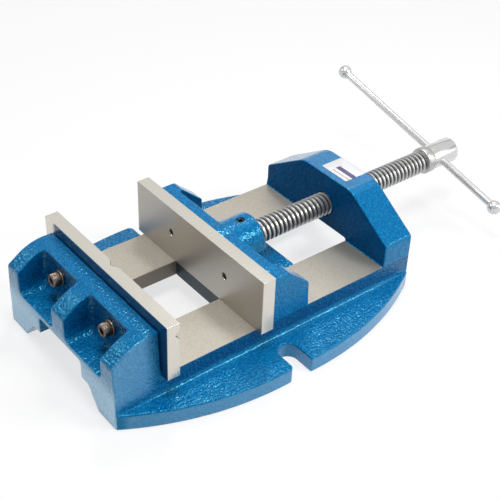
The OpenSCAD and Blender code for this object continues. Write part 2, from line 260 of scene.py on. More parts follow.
def casting_skin(field, xs, ys, zs):
    """Closed skin of a cast solid whose signed distance is field(x, y, z), on the grid of planes xs, ys,
    zs. A cell whose corners change sign gets one point, the mean of the crossings on its twelve edges;
    each grid edge that changes sign joins its four cells by a quad that faces out. The points then slide
    down the field's slope on to its zero. Returns points, quads and the outward normals there.
    A casting's fillets run into each other in a way that no grid of two parameters follows."""
    value = field(xs[:, None, None], ys[None, :, None], zs[None, None, :])
    inside = value < 0
    planes = (xs, ys, zs)
    corners = [(i, j, k) for i in (0, 1) for j in (0, 1) for k in (0, 1)]
    size = [n - 1 for n in value.shape]

    def at(grid, corner):
        """The grid's values at one corner of every cell."""
        return grid[tuple(slice(c, c + s) for c, s in zip(corner, size))]

    count = sum(at(inside, c).astype(np.int8) for c in corners)
    live = (count > 0) & (count < 8)
    cells = np.argwhere(live)
    number = np.full(live.shape, -1, np.int64)
    number[live] = np.arange(len(cells))
    total = np.zeros((len(cells), 3))
    crossings = np.zeros(len(cells))
    for first in corners:
        for axis in range(3):
            if first[axis]:
                continue
            second = tuple(c + (k == axis) for k, c in enumerate(first))
            a = at(value, first)[live]
            b = at(value, second)[live]
            change = (a < 0) != (b < 0)
            share = np.where(change, a / np.where(change, a - b, 1.0), 0.0)
            for k in range(3):
                start = planes[k][cells[:, k] + first[k]]
                end = planes[k][cells[:, k] + second[k]]
                total[:, k] += np.where(change, start + share * (end - start), 0.0)
            crossings += change
    points = total / crossings[:, None]

    quads = []
    for axis in range(3):
        one, two = (axis + 1) % 3, (axis + 2) % 3
        low = [slice(None)] * 3
        high = [slice(None)] * 3
        low[axis], high[axis] = slice(0, -1), slice(1, None)
        before, after = inside[tuple(low)], inside[tuple(high)]
        for out, flip in ((before & ~after, False), (~before & after, True)):
            edge = np.argwhere(out)
            keep = (edge[:, one] > 0) & (edge[:, two] > 0)
            keep &= (edge[:, one] < size[one]) & (edge[:, two] < size[two])
            edge = edge[keep]
            ring = []
            for back_one, back_two in ((1, 1), (0, 1), (0, 0), (1, 0)):
                cell = edge.copy()
                cell[:, one] -= back_one
                cell[:, two] -= back_two
                ring.append(number[tuple(cell.T)])
            quads.append(np.stack(ring[::-1] if flip else ring, axis=1))
    quads = np.concatenate(quads)

    for _ in range(4):
        slope = field_slope(field, points)
        steep = np.maximum(np.sum(slope * slope, axis=1), 0.2)
        points = points - slope * np.clip(field(*points.T) / steep, -0.6, 0.6)[:, None]
    normals = field_slope(field, points)
    normals /= np.maximum(np.linalg.norm(normals, axis=1), 1e-9)[:, None]
    return points, quads, normals


# Mesh helpers

def new_object(name, data):
    """An object with that data, in the scene."""
    made = bpy.data.objects.new(name, data)
    bpy.context.scene.collection.objects.link(made)
    return made


def smooth(mesh):
    """Shades every face of a mesh smooth."""
    mesh.polygons.foreach_set("use_smooth", np.ones(len(mesh.polygons), bool))


def sharpen(piece, degrees):
    """Edges that turn by more than the angle stay crisp under smooth shading."""
    piece.data.set_sharp_from_angle(angle=math.radians(degrees))


def put_piece(name, points, faces, body, material, normals=None, merge=True):
    """Writes points in millimetres and faces as a smooth mesh, closes its seams and poles by merging
    doubles, and lets it ride on a body."""
    mesh = bpy.data.meshes.new(name)
    mesh.from_pydata(np.asarray(points) * MM, [], faces)
    if merge:
        work = bmesh.new()
        work.from_mesh(mesh)
        bmesh.ops.remove_doubles(work, verts=work.verts, dist=1e-6)
        bmesh.ops.dissolve_degenerate(work, edges=work.edges, dist=1e-7)
        work.to_mesh(mesh)
        work.free()
    mesh.validate()
    smooth(mesh)
    if normals is not None:
        mesh.normals_split_custom_set_from_vertices(normals)
    mesh.update()
    piece = new_object(name, mesh)
    mesh.materials.append(material)
    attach(piece, body)
    return piece


def grid_quads(rows, columns):
    """Quads of a grid of rows by columns numbered row by row, with the last column joined to the first.
    They face outwards where a ring of columns runs counterclockwise about the direction of the rows."""
    row = np.arange(rows - 1)[:, None]
    column = np.arange(columns)[None, :]
    after = (column + 1) % columns
    return np.stack([row * columns + after, (row + 1) * columns + after,
                     (row + 1) * columns + column, row * columns + column], axis=-1).reshape(-1, 4)


def turned(along, radius, sides, start, axis):
    """Turned surface: the profile's rows (distance along the axis, radius) carried round it. A row's
    radius may change with the angle too, as one value for each side. Faces point outwards where the
    rows run from the start of the axis along the outside."""
    axis = np.asarray(axis, float) / np.linalg.norm(axis)
    helper = np.array([0.0, 0.0, 1.0]) if abs(axis[2]) < 0.9 else np.array([1.0, 0.0, 0.0])
    first = np.cross(helper, axis)
    first /= np.linalg.norm(first)
    second = np.cross(axis, first)
    turn = np.linspace(0.0, 2 * np.pi, sides, endpoint=False)
    ring = np.cos(turn)[:, None] * first + np.sin(turn)[:, None] * second
    radius = np.array([np.broadcast_to(r, sides) for r in radius], float)
    points = (np.asarray(start, float) + np.asarray(along, float)[:, None, None] * axis
              + radius[:, :, None] * ring[None, :, :])
    return points.reshape(-1, 3), grid_quads(len(radius), sides)


def turned_piece(name, rows, sides, start, axis, body, material, crisp):
    """Piece turned from rows of (distance along the axis, radius). Edges that turn by more than the
    crisp angle, in degrees, stay sharp."""
    points, quads = turned([r[0] for r in rows], [r[1] for r in rows], sides, start, axis)
    piece = put_piece(name, points, quads, body, material)
    sharpen(piece, crisp)
    return piece


def drawn_piece(name, rings, body, material, crisp):
    """Piece drawn out along +X through rings of points, stations by points by coordinates, each ring
    counterclockwise as seen from +X, with an end face on the first and on the last ring."""
    stations, count = rings.shape[:2]
    faces = grid_quads(stations, count).tolist()
    faces.append(list(range(count))[::-1])
    faces.append(list(range((stations - 1) * count, stations * count)))
    piece = put_piece(name, rings.reshape(-1, 3), faces, body, material)
    sharpen(piece, crisp)


# Node helpers

def feed(tree, spot, value):
    """Links an output socket to an input socket, or sets the input's own value."""
    if isinstance(value, bpy.types.NodeSocket):
        tree.links.new(value, spot)
    else:
        spot.default_value = value


def math_node(tree, operation, *values):
    """One Math node fed with its values; returns its output."""
    made = tree.nodes.new("ShaderNodeMath")
    made.operation = operation
    for spot, value in zip(made.inputs, values):
        feed(tree, spot, value)
    return made.outputs[0]


def fold(tree, operation, first, *others):
    """One Math operation over a row of shares, from the first to the last; returns the output."""
    for other in others:
        first = math_node(tree, operation, first, other)
    return first


def blend_colours(tree, share, first, second):
    """Mix of two colours by a share; returns the colour output."""
    made = tree.nodes.new("ShaderNodeMix")
    made.data_type = "RGBA"
    feed(tree, made.inputs[0], share)
    for spot, colour in ((made.inputs[6], first), (made.inputs[7], second)):
        feed(tree, spot, (*colour, 1.0) if isinstance(colour, tuple) else colour)
    return made.outputs[2]


def ramp_range(tree, value, low, high, to_low=0.0, to_high=1.0):
    """Smooth step from to_low at the value low to to_high at the value high; returns the result."""
    made = tree.nodes.new("ShaderNodeMapRange")
    made.interpolation_type = "SMOOTHSTEP"
    tree.links.new(value, made.inputs["Value"])
    for key, number in (("From Min", low), ("From Max", high), ("To Min", to_low), ("To Max", to_high)):
        made.inputs[key].default_value = number
    return made.outputs["Result"]


def fade(tree, place, low, high, to_low=1.0, to_high=0.0):
    """Smooth step of a coordinate, from to_low at low to to_high at high, both in millimetres."""
    return ramp_range(tree, place, low * MM, high * MM, to_low, to_high)


def distance(tree, place, middle):
    """Distance of a coordinate from a middle in millimetres."""
    return math_node(tree, "ABSOLUTE", math_node(tree, "SUBTRACT", place, middle * MM))


def split_axes(tree, spot):
    """X, Y and Z of a vector."""
    apart = tree.nodes.new("ShaderNodeSeparateXYZ")
    tree.links.new(spot, apart.inputs[0])
    return tuple(apart.outputs)


def noise(tree, vector, scale, detail=2.0, roughness=0.5):
    """Noise texture; returns its value output."""
    made = tree.nodes.new("ShaderNodeTexNoise")
    for key, value in (("Vector", vector), ("Scale", scale), ("Detail", detail), ("Roughness", roughness)):
        feed(tree, made.inputs[key], value)
    return made.outputs[0]


def new_group(name, inputs, outputs):
    """An empty shader node group with inputs of (name, kind) and float outputs; returns its tree and
    its input and output nodes."""
    tree = bpy.data.node_groups.new(name, "ShaderNodeTree")
    for label, kind in inputs:
        tree.interface.new_socket(label, in_out="INPUT", socket_type=kind)
    for label in outputs:
        tree.interface.new_socket(label, in_out="OUTPUT", socket_type="NodeSocketFloat")
    return tree, tree.nodes.new("NodeGroupInput"), tree.nodes.new("NodeGroupOutput")


def place_group(tree, group, **sockets):
    """Puts a node group in a tree with its inputs set or linked."""
    made = tree.nodes.new("ShaderNodeGroup")
    made.node_tree = group
    for key, value in sockets.items():
        feed(tree, made.inputs[key], value)
    return made


def new_material(name):
    """A material with an empty Principled BSDF; returns material, tree, shader and Object coordinates."""
    made = bpy.data.materials.new(name)
    made.use_nodes = True
    tree = made.node_tree
    shader = tree.nodes["Principled BSDF"]
    return made, tree, shader, tree.nodes.new("ShaderNodeTexCoord").outputs["Object"]


def finish_shader(tree, shader, colour, rough, metallic=0.0):
    """Links the colour and the roughness of a shader and sets how metallic it is."""
    tree.links.new(colour, shader.inputs["Base Color"])
    tree.links.new(rough, shader.inputs["Roughness"])
    shader.inputs["Metallic"].default_value = metallic


def bump(tree, shader, height, distance_m, strength):
    """Bump of a height, in metres at a height of one, on the shader's normal."""
    made = tree.nodes.new("ShaderNodeBump")
    made.inputs["Distance"].default_value = distance_m
    made.inputs["Strength"].default_value = strength
    tree.links.new(height, made.inputs["Height"])
    tree.links.new(made.outputs["Normal"], shader.inputs["Normal"])


def hammered_group():
    """Hammered enamel: rounded cells, about the given number to the metre, uneven in size and depth, and
    a fleck of about their size where the film runs thin. The height is a share of slow waves less a
    share of the distance from the cell's middle."""
    inputs = (("Vector", "NodeSocketVector"), ("Cells", "NodeSocketFloat"))
    tree, given, put = new_group("hammered_enamel", inputs, ("Height", "Fleck"))
    cells = tree.nodes.new("ShaderNodeTexVoronoi")
    cells.feature = "SMOOTH_F1"
    cells.inputs["Smoothness"].default_value = 0.4
    tree.links.new(given.outputs["Vector"], cells.inputs["Vector"])
    tree.links.new(given.outputs["Cells"], cells.inputs["Scale"])
    waves = math_node(tree, "MULTIPLY", noise(tree, given.outputs["Vector"], 330.0, 2.0, 0.55), 0.7)
    height = math_node(tree, "MULTIPLY_ADD", cells.outputs["Distance"], -0.75, waves)
    fleck = ramp_range(tree, noise(tree, given.outputs["Vector"], 820.0, 1.0, 0.5), 0.38, 0.66)
    tree.links.new(height, put.inputs["Height"])
    tree.links.new(fleck, put.inputs["Fleck"])
    return tree


def grind_group():
    """Ground steel: fine lines along the direction that the Stretch input sets, and slow stains."""
    inputs = (("Vector", "NodeSocketVector"), ("Stretch", "NodeSocketVector"))
    tree, given, put = new_group("grind_lines", inputs, ("Lines", "Stain"))
    drawn = tree.nodes.new("ShaderNodeVectorMath")
    drawn.operation = "MULTIPLY"
    tree.links.new(given.outputs["Vector"], drawn.inputs[0])
    tree.links.new(given.outputs["Stretch"], drawn.inputs[1])
    tree.links.new(noise(tree, drawn.outputs[0], 1.0, 3.0, 0.6), put.inputs["Lines"])
    tree.links.new(noise(tree, given.outputs["Vector"], 22.0, 3.0, 0.55), put.inputs["Stain"])
    return tree


HAMMERED = hammered_group()
GRIND = grind_group()


# Enamel

def wing_rim(tree, side, z):
    """Share of 1 on the wings' upright rims, out from the bed and below the rounded top edge."""
    return fold(tree, "MULTIPLY", fade(tree, side, BED_Y + 2.0, BED_Y + 5.0, 0.0, 1.0),
                fade(tree, z, WING_T - 1.6, WING_T - 0.6))


def tone_by_place(tree, x, y, z, colour):
    """Colour of the enamel by place, with painted light. Paler as a painted reflection of the floor: front
    faces, at the lowest X, towards the foot, and the fixed jaw block's near end with the wings' rims. Paler
    as a painted sheen: the bridge's top. Darker as
    painted shade: a strip under the rails' outer edges, and the walls behind the pockets. Each share is a
    product of smooth steps of coordinates."""
    side = math_node(tree, "ABSOLUTE", y)
    # Painted reflection of the floor: front faces paler, more towards the foot
    front = fold(tree, "MULTIPLY", fade(tree, x, FRONT_X + 0.3, FRONT_X + 1.2),
                 fade(tree, z, 20.0, 42.0, 0.94, 0.14))
    colour = blend_colours(tree, front, colour, PAINTED_SHEEN_BLUE)
    # Painted reflection of the floor on the block's near end and the wings' rims
    end = fold(tree, "MULTIPLY", fade(tree, y, 2.6 - BED_Y, 3.4 - BED_Y),
               fade(tree, x, FRONT_X + 22.0, FRONT_X + 34.0),
               fade(tree, z, WING_T + 1.5, WING_T + 11.5, 0.0, 1.0))
    edges = fold(tree, "MAXIMUM", end, wing_rim(tree, side, z))
    colour = blend_colours(tree, math_node(tree, "MULTIPLY", edges, 0.24), colour, END_REFLECTION_BLUE)
    # Painted shade on the bed's side under the rails' outer edges
    strip = fold(tree, "MULTIPLY", fade(tree, distance(tree, side, BED_Y), 0.6, 1.2, 0.7, 0.0),
                 fade(tree, z, WING_T + 2.5, WING_T + 5.5, 0.0, 1.0),
                 math_node(tree, "LESS_THAN", z, (RAIL_Z + 0.1) * MM),
                 fade(tree, x, PLATE_BACK_X + 1.7, PLATE_BACK_X + 9.7, 0.0, 1.0))
    colour = blend_colours(tree, strip, colour, STRIP_SHADE_BLUE)
    # Painted sheen: the bridge's top a little paler
    bridge_top_sheen = fade(tree, z, TOP_Z - 0.6, TOP_Z - 0.2, 0.0, 0.1)
    colour = blend_colours(tree, bridge_top_sheen, colour, PAINTED_SHEEN_BLUE)
    # Painted shade on the walls behind the pockets
    wall = fold(tree, "MULTIPLY", fade(tree, z, POCKET_Z + 3.0, POCKET_Z + 12.0, 0.0, 0.5),
                math_node(tree, "LESS_THAN", distance(tree, side, POCKET_Y), (POCKET_HALF + 0.15) * MM),
                fade(tree, x, POCKET_X + 0.2, POCKET_X + 0.9))
    return blend_colours(tree, wall, colour, POCKET_SHADE_BLUE)


def calm_by_place(tree, x, y, z):
    """Share by which the enamel's relief is calmer: on the wings' rims, in the fillet at the bed's foot,
    on the bridge and the moving jaw, and on the fixed jaw block's rib slopes and top."""
    side = math_node(tree, "ABSOLUTE", y)
    rim = math_node(tree, "MULTIPLY", wing_rim(tree, side, z), 0.72)
    foot = fold(tree, "MULTIPLY", fade(tree, distance(tree, side, BED_Y + 1.8), 2.0, 3.4, 0.7, 0.0),
                fade(tree, z, WING_T + 4.5, WING_T + 6.5))
    bridge = fold(tree, "MULTIPLY", fade(tree, x, BRIDGE_X - 1.0, BRIDGE_X + 0.5, 0.0, 0.7),
                  fade(tree, z, 30.0, 34.0, 0.0, 1.0))
    jaw = fold(tree, "MULTIPLY", fade(tree, x, JAW_X - 1.0, JAW_X + 0.5, 0.0, 0.62),
               fade(tree, z, RAIL_Z + 0.1, RAIL_Z + 0.5, 0.0, 1.0))
    slope = fold(tree, "MULTIPLY", fade(tree, x, BLOCK_SLOPE_X - 2.0, BLOCK_SLOPE_X + 2.0, 0.35, 0.0),
                 math_node(tree, "GREATER_THAN", distance(tree, side, POCKET_Y), POCKET_HALF * MM),
                 math_node(tree, "GREATER_THAN", z, (BLOCK_FRONT_Z - 2.0) * MM))
    top = fold(tree, "MULTIPLY", fade(tree, x, BLOCK_SLOPE_X + 1.0, BLOCK_SLOPE_X + 4.0, 0.0, 0.35),
               fade(tree, x, PLATE_BACK_X + 1.7, PLATE_BACK_X + 3.7),
               fade(tree, z, BLOCK_Z - 3.0, BLOCK_Z - 1.5, 0.0, 1.0))
    return fold(tree, "MAXIMUM", rim, foot, bridge, jaw, slope, top)


def blue_enamel(name, inner):
    """Blue hammered enamel on cast iron: a glossy film over uneven cells, with paler flecks, toned by place
    with painted reflection, sheen and shade, and calmed by place. On inner faces the film is darker with
    painted shade, calmer and less glossy instead."""
    made, tree, shader, spot = new_material(name)
    cells = place_group(tree, HAMMERED, Vector=spot, Cells=520.0)
    broad = noise(tree, spot, 45.0, 3.0, 0.55)
    colour = blend_colours(tree, cells.outputs["Fleck"], blend_colours(tree, broad, *FILM_BLUES),
                           blend_colours(tree, broad, *FLECK_BLUES))
    height = cells.outputs["Height"]
    if inner:
        # Painted shade: inner faces half mixed with a dark blue
        colour = blend_colours(tree, 0.5, colour, INNER_SHADE_BLUE)
        height = math_node(tree, "MULTIPLY", height, 0.45)
    else:
        x, y, z = split_axes(tree, spot)
        colour = tone_by_place(tree, x, y, z, colour)
        relief = math_node(tree, "SUBTRACT", 1.0, calm_by_place(tree, x, y, z))
        height = math_node(tree, "MULTIPLY", height, relief)
    rough = math_node(tree, "MULTIPLY_ADD", cells.outputs["Fleck"], -0.04, 0.10)
    finish_shader(tree, shader, colour, rough)
    shader.inputs["IOR"].default_value = 1.2 if inner else 1.55
    shader.inputs["Specular IOR Level"].default_value = 0.2 if inner else 0.5
    shader.inputs["Specular Tint"].default_value = GLOSS_BLUE
    bump(tree, shader, height, 0.00072, 1.0)
    return made


# Steels and label film

def vee_walls(tree, x, across, middle, half):
    """Share of 1 on the walls of a V-groove in the fixed plate's jaw face. Its wall stands at the face
    less the depth times one minus the distance from the middle over the half width."""
    off = distance(tree, across, middle)
    wall = math_node(tree, "MULTIPLY_ADD", off, VEE_DEPTH / half, (FIXED_HIGH[0] - VEE_DEPTH - 0.2) * MM)
    inside = math_node(tree, "LESS_THAN", off, 0.98 * half * MM)
    return math_node(tree, "MULTIPLY", inside, math_node(tree, "GREATER_THAN", x, wall))


def ground_steel(name, stretch, first, second, rough_low, rough_span, face_x=None, fixed=False):
    """Ground steel with a warm tint and fine lines. A jaw plate's top is lighter, a painted highlight. A
    face at the X of face_x, in millimetres, is darker and duller, and that plate's ends are lighter, a
    painted even light, and less metallic. On the fixed plate the V-grooves are nearly black, painted shade,
    and the back, but for its far end, is navy and not metallic, a painted reflection of the blue block."""
    made, tree, shader, spot = new_material(name)
    lines = place_group(tree, GRIND, Vector=spot, Stretch=stretch)
    colour = blend_colours(tree, lines.outputs["Stain"], first, second)
    rough = math_node(tree, "MULTIPLY_ADD", lines.outputs["Lines"], rough_span, rough_low)
    metallic = 0.8
    x, y, z = split_axes(tree, spot)
    if face_x is not None or fixed:
        # Painted highlight: a jaw plate's top is lighter
        top = fade(tree, z, FIXED_HIGH[2] - 0.4, FIXED_HIGH[2] - 0.1, 0.0, 1.0)
        colour = blend_colours(tree, top, colour, (0.80, 0.77, 0.69))
    if face_x is not None:
        face = fade(tree, x, face_x + 0.1, face_x + 0.5)
        colour = blend_colours(tree, face, colour, (0.44, 0.418, 0.380))
        rough = math_node(tree, "MULTIPLY_ADD", face, 0.22, rough)
        # Painted light: the plate's ends lighter and less metallic, so that they read evenly lit instead of
        # mirroring the blue wing
        end = fade(tree, math_node(tree, "ABSOLUTE", y), PLATE_HALF - 0.8, PLATE_HALF - 0.3, 0.0, 1.0)
        colour = blend_colours(tree, end, colour, (0.74, 0.70, 0.63))
        tree.links.new(math_node(tree, "MULTIPLY_ADD", end, -0.5, metallic), shader.inputs["Metallic"])
    if fixed:
        # Painted shade: the V-grooves' walls nearly black
        groove = fold(tree, "MAXIMUM", vee_walls(tree, x, y, 0.0, UPRIGHT_VEE_HALF),
                      vee_walls(tree, x, z, LEVEL_VEE_Z, LEVEL_VEE_HALF))
        colour = blend_colours(tree, groove, colour, (0.045, 0.041, 0.036))
        # Painted reflection: the back, but for its far end, navy and not metallic, as the blue block
        # mirrored in the steel
        back = fold(tree, "MULTIPLY", fade(tree, x, PLATE_BACK_X + 0.3, PLATE_BACK_X + 0.7),
                    fade(tree, y, PLATE_HALF - 15.0, PLATE_HALF - 9.0))
        colour = blend_colours(tree, back, colour, PLATE_BACK_REFLECTION_BLUE)
        tree.links.new(math_node(tree, "MULTIPLY_ADD", back, -metallic, metallic), shader.inputs["Metallic"])
    finish_shader(tree, shader, colour, rough, metallic)
    bump(tree, shader, lines.outputs["Lines"], 0.000006, 0.6)
    return made


def rail_steel():
    """Milled rail steel: fine lines along the bed, a grain of small pits, guide faces darker below the top,
    and painted shade that darkens the near rail towards the bridge."""
    made, tree, shader, spot = new_material("ground_rail_steel")
    lines = place_group(tree, GRIND, Vector=spot, Stretch=(60.0, 900.0, 200.0))
    clean = blend_colours(tree, lines.outputs["Stain"], (0.455, 0.418, 0.353), (0.525, 0.486, 0.415))
    pits = ramp_range(tree, noise(tree, spot, 1300.0, 2.0, 0.6), 0.30, 0.62)
    worn_and_shaded = blend_colours(tree, pits, (0.385, 0.354, 0.300), clean)
    x, y, z = split_axes(tree, spot)
    # Painted shade: the near rail darker towards the bridge
    near_rail_shade = math_node(tree, "MULTIPLY", fade(tree, x, BRIDGE_X - 63.0, BRIDGE_X - 8.0, 0.1, 0.85),
                    math_node(tree, "LESS_THAN", y, 0.0))
    worn_and_shaded = blend_colours(tree, near_rail_shade, worn_and_shaded, (0.24, 0.235, 0.21))
    # The guide faces and the ledge below the top are darker
    top = fade(tree, z, RAIL_Z - 1.2, RAIL_Z - 0.25, 0.0, 1.0)
    colour = blend_colours(tree, top, (0.21, 0.186, 0.155), worn_and_shaded)
    rough = math_node(tree, "MULTIPLY_ADD", lines.outputs["Lines"], 0.16, 0.36)
    finish_shader(tree, shader, colour, rough, 0.3)
    bump(tree, shader, pits, 0.00001, 0.6)
    return made


def bright_steel(name, grooves):
    """Turned bright steel with fine rings about the spindle. With grooves, the thread is darker towards its
    root, a painted shade,
    by the distance from the axis: the root of the sum of the squares of Y and of the height over it."""
    made, tree, shader, spot = new_material(name)
    lines = place_group(tree, GRIND, Vector=spot, Stretch=(2600.0, 60.0, 60.0))
    colour = blend_colours(tree, lines.outputs["Stain"], (0.44, 0.44, 0.435), (0.54, 0.535, 0.52))
    rough = math_node(tree, "MULTIPLY_ADD", lines.outputs["Lines"], 0.14, 0.26)
    if grooves:
        y, z = split_axes(tree, spot)[1:]
        up = math_node(tree, "SUBTRACT", z, AXIS_Z * MM)
        squares = math_node(tree, "MULTIPLY_ADD", up, up, math_node(tree, "MULTIPLY", y, y))
        # Painted shade: the thread darker towards its root
        crest = fade(tree, math_node(tree, "SQRT", squares), THREAD_R - 1.5, THREAD_R - 0.25, 0.0, 1.0)
        colour = blend_colours(tree, crest, (0.10, 0.098, 0.092), colour)
        rough = math_node(tree, "MULTIPLY_ADD", crest, -0.2, math_node(tree, "ADD", rough, 0.2))
    finish_shader(tree, shader, colour, rough, 0.75)
    bump(tree, shader, lines.outputs["Lines"], 0.00001, 0.6)
    return made


def polished_steel():
    """Plated bar steel: smooth and bright, with slow changes of its gloss."""
    made, tree, shader, spot = new_material("polished_bar_steel")
    slow = noise(tree, spot, 90.0, 2.0, 0.5)
    colour = blend_colours(tree, slow, (0.62, 0.62, 0.62), (0.68, 0.68, 0.67))
    finish_shader(tree, shader, colour, math_node(tree, "MULTIPLY_ADD", slow, 0.05, 0.12), 0.6)
    return made


def dark_steel(name, first, second):
    """Blackened and oiled screw steel, mottled between two colours."""
    made, tree, shader, spot = new_material(name)
    stain = noise(tree, spot, 700.0, 3.0, 0.6)
    colour = blend_colours(tree, stain, first, second)
    finish_shader(tree, shader, colour, math_node(tree, "MULTIPLY_ADD", stain, 0.2, 0.24), 0.9)
    bump(tree, shader, stain, 0.00002, 0.6)
    return made


def label_film():
    """White sticker film printed with a dark bar and a red rule, both of which run off its near edge. A
    mark is a range of X from the sticker's low edge and what it falls short of the far edge, in
    millimetres."""
    made, tree, shader, spot = new_material("white_label")
    x, y = split_axes(tree, spot)[:2]
    colour = blend_colours(tree, noise(tree, spot, 500.0), (0.72, 0.72, 0.735), (0.80, 0.80, 0.815))
    dark_bar = (6.5, 10.7, 8.4, (0.09, 0.085, 0.20))
    red_rule = (3.05, 3.75, 8.5, (0.42, 0.13, 0.11))
    for low, high, short, ink in (dark_bar, red_rule):
        off = distance(tree, x, LABEL_LOW[0] + (low + high) / 2)
        mark = fold(tree, "MULTIPLY", math_node(tree, "LESS_THAN", off, (high - low) / 2 * MM),
                    math_node(tree, "LESS_THAN", y, (LABEL_HIGH[1] - short) * MM))
        colour = blend_colours(tree, mark, colour, ink)
    rough = math_node(tree, "MULTIPLY_ADD", noise(tree, spot, 300.0), 0.1, 0.3)
    finish_shader(tree, shader, colour, rough)
    return made


ENAMEL = blue_enamel("blue_enamel", False)
# Enamel with painted shade, for the bridge's front and the far ear's inner side
INNER_SHADE_ENAMEL = blue_enamel("blue_inner_shade_enamel", True)
PLATE_TONES = ((60.0, 40.0, 900.0), (0.66, 0.62, 0.55), (0.72, 0.69, 0.62), 0.13, 0.09)
# Machined slide iron with painted shade: near-black for the shade under the moving plate
SLIDE_SHADE_TONES = ((60.0, 60.0, 900.0), (0.035, 0.052, 0.066), (0.065, 0.085, 0.10), 0.38, 0.16)
PLATE_STEEL = ground_steel("ground_plate_steel", *PLATE_TONES)
FIXED_STEEL = ground_steel("grooved_plate_steel", *PLATE_TONES, fixed=True)
FACE_STEEL = ground_steel("lapped_plate_steel", *PLATE_TONES, face_x=MOVING_LOW[0])
RAIL_STEEL = rail_steel()
SLIDE_SHADE_IRON = ground_steel("machined_slide_iron_shade", *SLIDE_SHADE_TONES)
BRIGHT = bright_steel("turned_bright_steel", False)
THREAD_STEEL = bright_steel("thread_steel", True)
BAR_STEEL = polished_steel()
SCREW_STEEL = dark_steel("blackened_screw_steel", (0.10, 0.075, 0.058), (0.30, 0.24, 0.20))
GRUB_STEEL = dark_steel("black_grub_steel", (0.02, 0.018, 0.016), (0.08, 0.07, 0.062))
LABEL_FILM = label_film()


# Castings

def base_field(x, y, z):
    """Distance from the skin of the base casting. The wings are the plan between two arcs and a
    straight stretch, cut by the clamp slots. Bed, jaw block and bridge are one upright solid under a
    roof of planes, joined to the wings by a fillet. Window, channel, pockets and bore are cut out."""
    side = np.abs(y)
    ends = np.abs(x) - REAR_X
    drop = WING_Y - BED_Y
    run = REAR_X - WING_FLAT / 2
    arc = (run * run + drop * drop) / (2 * drop)
    edge = np.hypot(np.maximum(np.abs(x) - WING_FLAT / 2, 0), np.maximum(side - WING_Y + arc, 0)) - arc
    slot = np.hypot(x, np.maximum(SLOT_Y - side, 0)) - SLOT_R
    plan = round_meet(edge, -slot, np.where(x < 0, SLOT_FRONT_R, SLOT_REAR_R))
    wing = round_meet(round_meet(plan, ends, WING_END_R), z - WING_T, WING_TOP_R)

    rise, reach = BLOCK_Z - BLOCK_FRONT_Z, BLOCK_SLOPE_X - FRONT_X
    slope = ((z - BLOCK_FRONT_Z) * reach - (x - FRONT_X) * rise) / math.hypot(rise, reach)
    block = round_meet(round_meet(slope, z - BLOCK_Z, BLOCK_RIDGE_R), x - PLATE_BACK_X, BLOCK_BACK_R)
    fall, across = TOP_Z - BRIDGE_SIDE_Z, BED_Y - BRIDGE_TOP_Y
    shoulder = ((side - BED_Y) * fall + (z - BRIDGE_SIDE_Z) * across) / math.hypot(fall, across)
    bridge = round_meet(round_meet(shoulder, z - TOP_Z, BRIDGE_RIDGE_R), BRIDGE_X - x, BRIDGE_FACE_R)
    roof = np.minimum(round_join(z - RAIL_Z + RAIL_SINK, bridge, RAIL_ROOT_R), block)
    lean = np.where(x < 0, BLOCK_DRAFT / (BLOCK_Z - RAIL_Z), 0.0) * np.maximum(z - RAIL_Z, 0)
    walls = round_meet(side - BED_Y + lean, ends, BED_CORNER_R)
    upper = np.clip((z - RAIL_Z - 1.0) / 5.0, 0, 1)
    tower = round_meet(roof, walls, RAIL_EDGE_R + (UPPER_EDGE_R - RAIL_EDGE_R) * upper)
    fillet = WING_FILLET * np.clip((REAR_X - np.abs(x)) / WING_FILLET_RUN, 0.15, 1.0)
    body = round_meet(round_join(wing, tower, fillet), ends, BED_END_R)

    guide = side - WINDOW_Y - SKIN_GAP
    arch = round_meet(guide, z - ARCH_Z, ARCH_R)
    spread = (FOOT_Y - LEDGE_Y) / LEDGE_Z
    under = (side - FOOT_Y + z * spread) / math.hypot(1.0, spread)
    under = round_meet(under, z - LEDGE_Z - SKIN_GAP, CHANNEL_R)
    window = np.maximum(np.maximum(guide, z - RAIL_Z - 1.0),
                        np.maximum(PLATE_BACK_X + 4.0 - x, x - BRIDGE_X + 4.0))
    body = round_meet(body, -np.minimum(np.minimum(arch, under), window), OPENING_EDGE_R)

    wall = np.abs(side - POCKET_Y) - POCKET_HALF
    pocket = round_meet(round_meet(x - POCKET_X, wall, POCKET_CORNER_R), POCKET_Z - z, POCKET_FLOOR_R)
    body = round_meet(body, -pocket, POCKET_EDGE_R)

    bore = np.maximum(np.hypot(y, z - AXIS_Z) - THREAD_R - SKIN_GAP, BRIDGE_X - 5.0 - x)
    body = round_meet(body, -bore, BORE_EDGE_R)
    return round_meet(body, -z, FOOT_EDGE_R)


